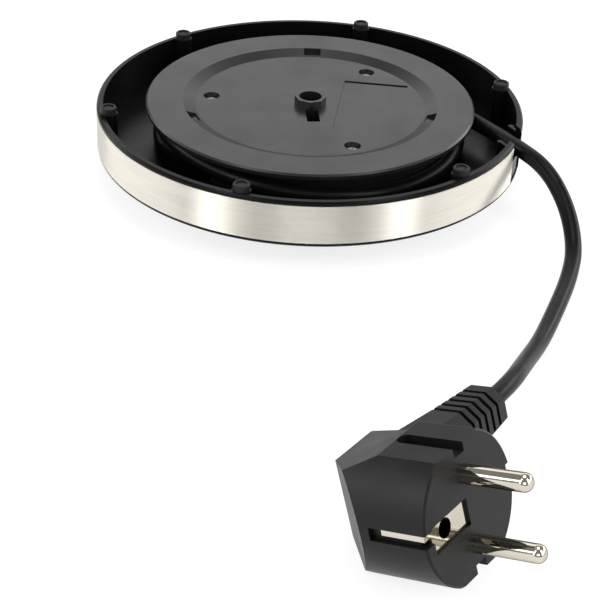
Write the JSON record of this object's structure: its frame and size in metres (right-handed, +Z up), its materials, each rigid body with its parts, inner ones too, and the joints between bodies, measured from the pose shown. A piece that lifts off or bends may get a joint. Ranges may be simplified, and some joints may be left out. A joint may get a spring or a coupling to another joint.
{
  "type": "kettle power base",
  "caption": "Round power base of a cordless kettle, lying upside down, with a steel side band, feet, cord drum, wound cord and an angled earthed plug.",
  "frame": {"origin": "floor point under the centre of the round base, which lies upside down on its hub", "axes": "+Z up, out of the underside with the feet; +X through the side that the cord leaves, 16 degrees short of the notch; -Y towards the plug"},
  "size_m": [0.1621, 0.3042, 0.038],
  "materials": {
    "black_plastic": "semi-gloss",
    "charcoal_plastic": "satin",
    "band_steel": "brushed round the side",
    "foot_rubber": "matte",
    "screw_steel": "zinc plated",
    "contact_brass": "bare",
    "connector_plastic": "matte",
    "shutter_plastic": "matte",
    "spring_steel": "drawn wire",
    "cord_pvc": "satin",
    "core_brown": "satin",
    "core_blue": "satin",
    "core_green": "satin",
    "plug_pvc": "satin",
    "pin_nickel": "nickel plated",
    "carrier_plastic": "matte"
  },
  "bodies": {
    "base": {"top_housing": "black_plastic", "steel_band": "band_steel", "bottom_cover": "charcoal_plastic", "cord_drum": "charcoal_plastic", "rubber_feet": "foot_rubber", "cover_screws": "screw_steel", "connector_socket": "connector_plastic", "neutral_contact": "contact_brass", "live_contact": "contact_brass", "earth_contact": "contact_brass", "shutter_spring": "spring_steel", "connector_retainer": "connector_plastic", "retainer_screws": "screw_steel", "spade_terminals": "contact_brass", "wire_neutral": "core_blue", "wire_live": "core_brown", "wire_earth": "core_green", "cord_clamp": "black_plastic", "clamp_screws": "screw_steel", "cord_entry": "cord_pvc", "cord_turns": "cord_pvc", "cord_lead": "cord_pvc", "plug_body": "plug_pvc", "plug_pin_carrier": "carrier_plastic", "plug_live_pin": "pin_nickel", "plug_neutral_pin": "pin_nickel", "plug_earth_clip": "pin_nickel", "plug_earth_socket": "pin_nickel", "plug_strain_relief": "plug_pvc", "plug_crimps": "contact_brass", "plug_core_wires": "core_brown", "plug_cord_end": "cord_pvc"},
    "shutter": {"shutter_ring": "shutter_plastic"}
  },
  "joints": [
    {"name": "shutter_slide", "type": "slide", "parent": "base", "child": "shutter", "axis": [0, 0, 1], "range_m": [0, 0.005], "stiffness_N_per_m": 120, "springref_m": -0.004, "deforming": ["shutter_spring"]}
  ]
}
